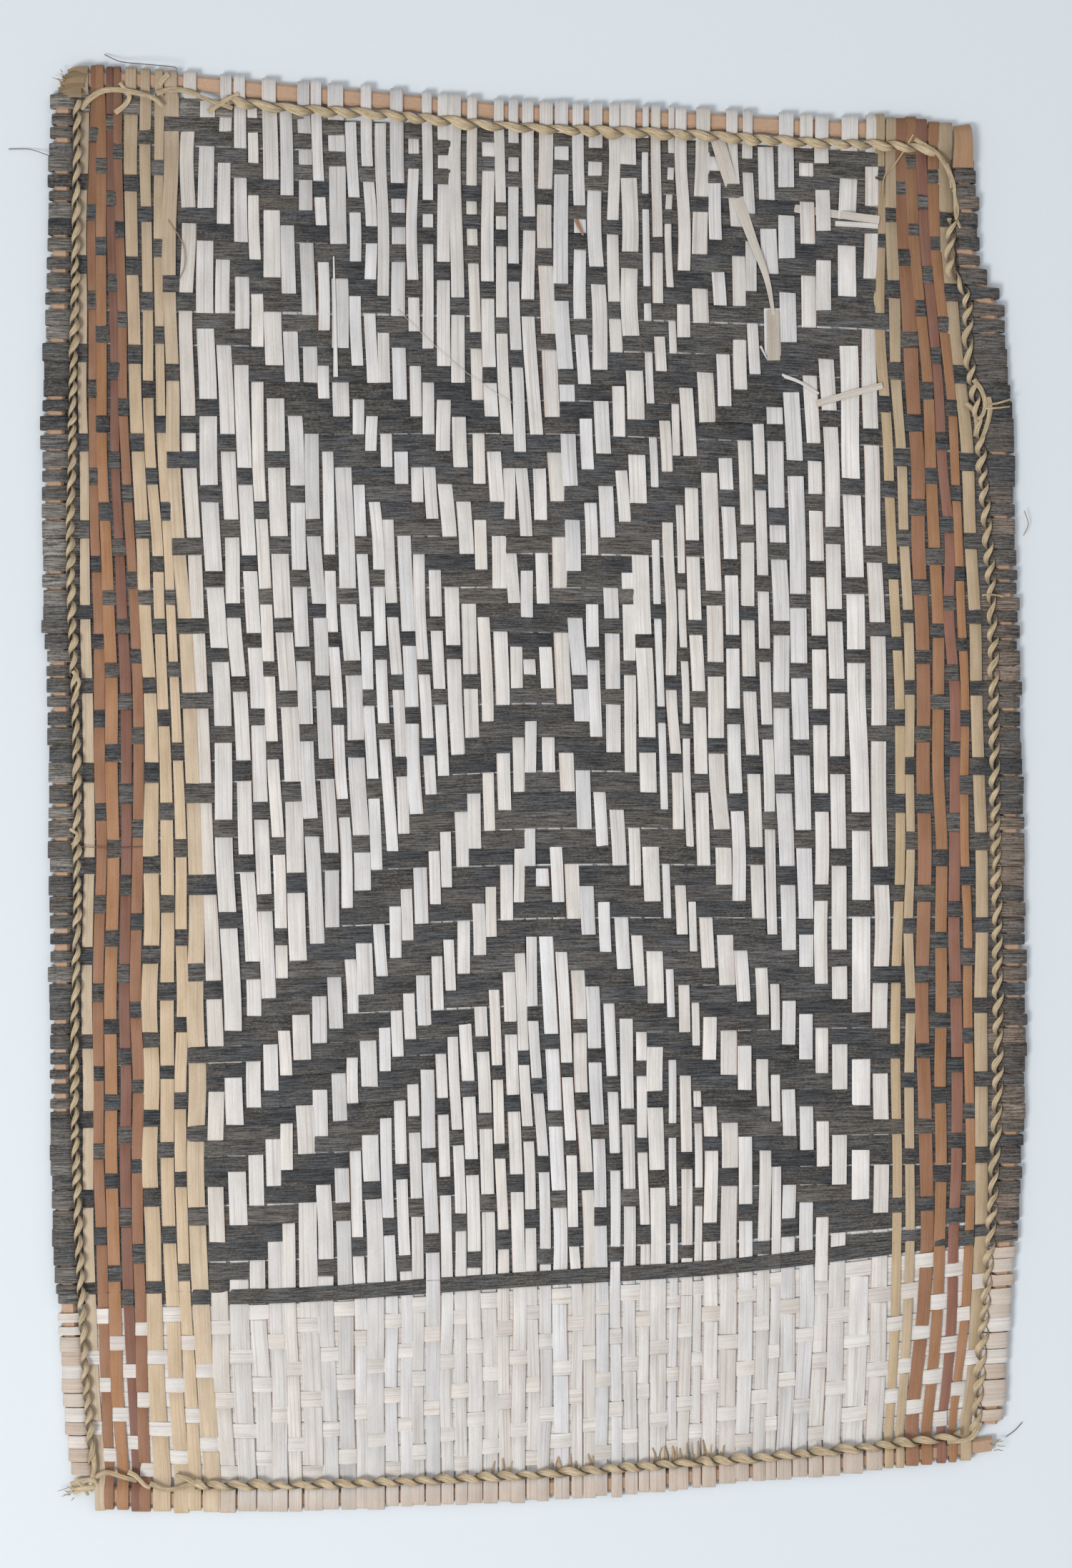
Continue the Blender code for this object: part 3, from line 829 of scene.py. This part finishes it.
# Where the cord isn't twisted but looped or knotted: its width, then its points
LOOPS = {
    "top": (
        (2.2, (-158.1, 237.4, 2.6), (-154.9, 240.6, 3.0), (-150.2, 243.4, 3.5), (-144.7, 243.6, 3.9),
         (-138.2, 242.5, 3.9), (-132.2, 240.6, 3.5), (-129.5, 238.1, 2.6)),
        (1.9, (-146.1, 236.0, 2.0), (-142.4, 238.8, 2.8), (-141.0, 241.6, 3.3), (-144.2, 246.1, 4.2)),
        (2.6, (-130.9, 245.7, 4.0), (-127.1, 249.0, 4.2)),
        (2.0, (-131.5, 242.6, 3.6), (-126.5, 243.8, 3.8), (-119.7, 242.9, 3.9), (-115.6, 241.1, 3.7),
         (-110.5, 239.2, 3.5), (-105.0, 237.4, 3.0)),
        (1.9, (-113.6, 236.3, 2.4), (-107.2, 240.1, 3.9), (-102.9, 242.3, 4.1)),
    ),
    "right": (
        (1.6, (133.0, 226.5, 3.7), (136.8, 224.2, 3.9), (141.1, 221.2, 3.7), (144.2, 216.0, 3.6),
         (145.6, 212.6, 3.4), (145.8, 209.6, 3.0)),
        (1.3, (144.0, 218.0, 3.2), (146.6, 211.0, 3.6), (146.9, 206.0, 3.5), (147.3, 199.6, 3.6),
         (148.9, 195.5, 3.5)),
        (1.0, (146.4, 209.0, 3.3), (148.0, 203.0, 3.6), (147.6, 197.0, 3.4)),
        (0.7, (132.5, 228.0, 4.2), (128.6, 221.6, 2.4), (125.6, 217.3, 1.9), (122.6, 213.8, 1.9),
         (121.9, 206.5, 1.7)),
        (1.8, (153.5, 142.6, 3.6), (156.1, 139.0, 4.2), (157.4, 134.4, 4.4), (156.6, 130.4, 4.2),
         (155.1, 128.9, 3.4)),
        (1.7, (151.0, 134.6, 2.2), (153.5, 131.9, 3.2), (154.5, 127.3, 3.6), (154.0, 122.8, 3.2)),
        (1.9, (158.6, 136.5, 4.2), (159.1, 131.4, 4.2), (157.6, 125.3, 4.0), (156.2, 121.6, 3.4)),
        (0.9, (156.6, 133.9, 4.3), (161.0, 134.2, 4.5), (166.8, 135.8, 4.0)),
        (0.8, (156.8, 132.6, 4.3), (161.0, 132.6, 4.5), (166.0, 133.2, 4.0)),
        (0.7, (156.4, 67.4, 4.4), (160.0, 67.6, 4.4), (163.6, 66.8, 4.3)),
        (2.0, (155.6, -221.0, 3.6), (153.4, -225.6, 3.8), (150.6, -227.2, 3.8), (144.3, -228.0, 3.6)),
    ),
    "bottom": (
        (1.9, (-153.6, -240.4, 3.2), (-148.8, -238.6, 3.4), (-143.4, -240.1, 3.6), (-138.4, -241.5, 3.2)),
        (1.8, (-141.4, -238.4, 3.2), (-138.6, -239.8, 3.7), (-135.8, -242.8, 3.4), (-133.6, -244.0, 3.2)),
        (1.8, (-133.8, -242.4, 3.2), (-130.0, -243.9, 3.6), (-126.5, -244.4, 3.7), (-119.3, -242.4, 3.4)),
        (2.0, (-124.9, -239.8, 2.8), (-121.4, -240.6, 3.6), (-117.0, -243.0, 3.2)),
        (2.2, (-161.2, -243.2, 2.2), (-157.7, -241.5, 4.0), (-153.7, -241.0, 3.8), (-152.4, -242.8, 3.0)),
        (2.4, (-160.9, -245.4, 2.0), (-156.8, -244.1, 4.2), (-152.8, -243.9, 3.4)),
        (1.6, (-159.6, -240.6, 3.4), (-157.0, -243.2, 4.2), (-155.6, -246.6, 2.4)),
    ),
    "left": (
        (1.8, (-153.7, -231.6, 3.2), (-153.2, -237.0, 3.8), (-154.6, -242.8, 3.6)),
        (1.3, (-160.6, 41.0, 4.2), (-158.4, 37.0, 4.1), (-160.2, 32.0, 4.2)),
        (1.2, (-161.6, -14.0, 4.2), (-158.6, -16.6, 4.1), (-161.0, -19.6, 4.2)),
    ),
}

twine = twine_finish()
for side in EDGES:
    cord = Splints()
    lobes = round(abs(CORD_ENDS[side][1] - CORD_ENDS[side][0]) / LOBE[side])
    turns = np.concatenate(([0], np.cumsum(1 + rng.normal(0, LOBE_SPREAD, lobes))))
    for phase in (0.0, math.pi):
        strand(cord, side, phase, turns / turns[-1])
    for width, *points in LOOPS[side]:
        laid(cord, width, np.array(STRAW) * rng.uniform(0.8, 1.0), points, thick=LOOP_THICK, taper=0.7)
    piece = cord.made(f"twined_cord_{side}", twine)
    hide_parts(f"twining_{side}")

# The loose bits: broken splints that lie on the weave, frayed wraps at the corners, and a few fibres.
# They are reed, held by their own stiffness, each tucked under a splint or the cord at one end.
FRAYED = np.array(linear(168, 142, 108))
FRAYED_CORNERS = ((-163.8, 247.0, -1, 0.5), (-160.6, -244.8, -1, -0.4), (161.0, -229.0, 1, 0.1))
FRAYED_ENDS = ((6.0, 21.0, -240.0, 14), (42.0, 66.0, -235.8, 20), (-20.0, -8.0, -241.5, 5))
CORNER_FIBRES = 9
LOOSE_THICK = 0.3
DARK_HAIR = linear(104, 92, 84)
DULL = linear(212, 202, 189)
CAP = linear(174, 136, 102)
LOOSE = (
    (5.0, DULL, 0.9, (64.3, 226.7, 1.9), (66.6, 218.8, 1.95), (69.2, 210.9, 1.2)),
    (4.3, DULL, 0.25, (71.3, 206.3, 1.3), (76.0, 193.0, 1.95), (81.4, 178.3, 1.95), (83.9, 165.4, 1.7)),
    (4.5, linear(198, 186, 171), 1.0, (83.6, 167.0, 1.5), (83.8, 158.0, 1.7), (83.9, 149.6, 1.4)),
    (2.8, DULL, 1.0, (86.4, 203.7, 1.1), (92.0, 202.7, 1.1), (94.6, 202.4, 0.8), (105.6, 200.8, 0.8),
     (108.0, 200.4, 1.75), (114.0, 199.5, 1.85), (120.8, 198.7, 1.8)),
    (1.8, PALE, 1.0, (105.4, 197.4, 1.6), (113.0, 197.0, 1.7), (120.4, 196.4, 1.7)),
    (2.5, DULL, 0.9, (99.0, 134.5, 1.6), (110.0, 137.6, 1.9), (121.9, 140.8, 1.8)),
    (1.3, PALE, 0.6, (86.8, 144.4, 1.2), (92.7, 142.1, 1.9), (99.7, 138.0, 1.7)),
    (0.8, PALE, 0.4, (79.3, 154.6, 1.6), (81.6, 150.0, 1.7)),
    (1.4, BROWN, 0.5, (14.8, 198.8, 1.7), (16.0, 196.0, 2.0), (17.4, 193.2, 1.8)),
    (1.6, PALE, 0.3, (-69.1, 143.8, 1.8), (-69.3, 160.0, 1.95), (-69.8, 185.9, 1.9)),
    (0.16, DULL, 1.0, (-47.6, 167.4, 1.9), (-30.0, 150.6, 2.0), (-16.0, 140.0, 2.0), (-6.9, 134.4, 1.9)),
    (0.3, DARK_HAIR, 1.0, (-157.9, -20.2, 3.0), (-147.0, -20.8, 1.9), (-136.6, -20.3, 1.8)),
    (0.3, DARK_HAIR, 1.0, (-150.0, 256.6, 0.8), (-144.2, 253.8, 2.6), (-136.4, 252.6, 4.2),
     (-124.8, 251.4, 4.4), (-124.3, 250.6, 4.3)),
    (0.25, DARK_HAIR, 1.0, (-183.6, 223.6, 0.5), (-176.0, 223.4, 0.9), (-169.1, 220.9, 3.0)),
    (0.3, FRAYED, 1.0, (-127.6, 198.7, 1.8), (-122.4, 190.0, 2.0), (-121.8, 183.0, 2.0),
     (-123.7, 177.9, 1.8)),
    (2.4, FRAYED * 0.8, 0.6, (-155.4, 250.2, 4.3), (-158.6, 250.8, 4.2), (-162.6, 250.4, 2.0)),
    (2.2, FRAYED * 0.6, 0.6, (-156.0, 248.6, 4.3), (-160.4, 249.0, 4.2), (-164.4, 248.2, 1.8)),
    (2.4, FRAYED * 0.85, 0.7, (-156.4, 247.0, 4.3), (-161.0, 246.9, 4.1), (-165.2, 246.0, 1.6)),
    (2.2, FRAYED * 0.65, 0.7, (-156.8, 245.2, 4.3), (-161.2, 245.0, 4.1), (-165.8, 243.9, 1.6)),
    (3.6, FRAYED * 0.75, 0.8, (-157.6, 242.8, 4.2), (-161.8, 242.6, 4.0), (-166.0, 241.4, 1.4)),
    (7.2, CAP, 0.82, (149.8, 216.6, 3.8), (149.9, 223.5, 4.4), (149.8, 229.2, 4.0), (149.5, 231.6, 1.8)),
    (0.3, FRAYED, 1.0, (171.4, 97.0, 2.0), (172.8, 92.6, 1.6), (171.2, 88.4, 1.8)),
    (0.3, DARK_HAIR, 1.0, (165.3, -226.6, 0.5), (168.0, -224.6, 0.7), (170.9, -221.6, 0.5)),
)

loose = Splints()
for width, tone, taper, *points in LOOSE:
    laid(loose, width, tone, points, thick=min(LOOSE_THICK, width), taper=taper)
for corner_x, corner_y, away_x, away_y in FRAYED_CORNERS:
    for _ in range(CORNER_FIBRES):
        at = np.array((corner_x, corner_y)) + rng.normal(0, 1.2, 2)
        tip = at + np.array((away_x, away_y)) * rng.uniform(1.0, 3.0) + rng.normal(0, 0.7, 2)
        laid(loose, 0.35, FRAYED, ((*at, 3.2), (*((at + tip) / 2), 3.4), (*tip, 2.2)), thick=0.25, taper=0.4)
for low_x, high_x, y, count in FRAYED_ENDS:
    for x in np.linspace(low_x, high_x, count) + rng.normal(0, 0.4, count):
        top = y + (x - low_x) * 0.08 + rng.uniform(1.5, 7.0)
        width = rng.uniform(0.7, 1.7)
        tone = FRAYED * rng.uniform(1.0, 1.5)
        bend = (x + rng.normal(0, 0.3), (y + top) / 2, 1.9)
        tip = (x + rng.normal(0, 0.5), top, 1.8)
        laid(loose, width, tone, ((x, y - 1.0, 2.2), bend, tip), thick=0.2, taper=0.3)
loose_bits = loose.made("loose_bits", reed)

# The floor, lights and camera: a plain pale table top, soft light from above, and a camera that looks
# straight down on the mat's middle, as in the photograph.
CAMERA_HEIGHT = 1.2
CAMERA_PLACE = (0.000875, 0.0016)
VIEW_HEIGHT = 0.5485
SENSOR = 36.0
FLOOR_REACH = 2.0

floor_mesh = bpy.data.meshes.new("floor")
corners = [(-FLOOR_REACH, -FLOOR_REACH, 0), (FLOOR_REACH, -FLOOR_REACH, 0),
           (FLOOR_REACH, FLOOR_REACH, 0), (-FLOOR_REACH, FLOOR_REACH, 0)]
floor_mesh.from_pydata(corners, [], [(0, 1, 2, 3)])
floor = bpy.data.objects.new("floor", floor_mesh)
bpy.context.scene.collection.objects.link(floor)
floor_material, shade, shader = new_material("pale_floor")
place = shade.add("ShaderNodeTexCoord", out="Object")
speckle = shade.add("ShaderNodeTexNoise", {"Vector": place, "Scale": 400.0, "Detail": 2.0})
connect(shade, shader, Base_Color=(speckle * 0.2 + 0.4).mix(linear(222, 229, 234), linear(232, 238, 242)))
shader.inputs["Roughness"].default_value = 0.9
shader.inputs["Specular IOR Level"].default_value = 0.1
floor_mesh.materials.append(floor_material)


def area_light(name, place, size, power, colour):
    light = bpy.data.lights.new(name, "AREA")
    light.shape = "DISK"
    light.size = size
    light.energy = power
    light.color = colour
    lamp = bpy.data.objects.new(name, light)
    lamp.location = place
    direction = -lamp.location
    lamp.rotation_euler = direction.to_track_quat("-Z", "Y").to_euler()
    bpy.context.scene.collection.objects.link(lamp)


area_light("window_light", place=(-0.9, -0.75, 1.5), size=0.7, power=18.8, colour=(1.0, 0.99, 0.98))
area_light("fill_light", place=(1.0, 0.9, 1.6), size=1.4, power=3.0, colour=(0.96, 0.98, 1.0))

world = bpy.data.worlds.new("room_light")
world.use_nodes = True
world.node_tree.nodes["Background"].inputs["Color"].default_value = (0.93, 0.96, 1.0, 1)
world.node_tree.nodes["Background"].inputs["Strength"].default_value = 0.55
bpy.context.scene.world = world
bpy.context.scene.view_settings.view_transform = "Standard"

lens = bpy.data.cameras.new("camera")
lens.sensor_fit = "VERTICAL"
lens.sensor_height = SENSOR
lens.lens = SENSOR * CAMERA_HEIGHT / VIEW_HEIGHT
camera = bpy.data.objects.new("camera", lens)
camera.location = (*CAMERA_PLACE, CAMERA_HEIGHT)
bpy.context.scene.collection.objects.link(camera)
bpy.context.scene.camera = camera
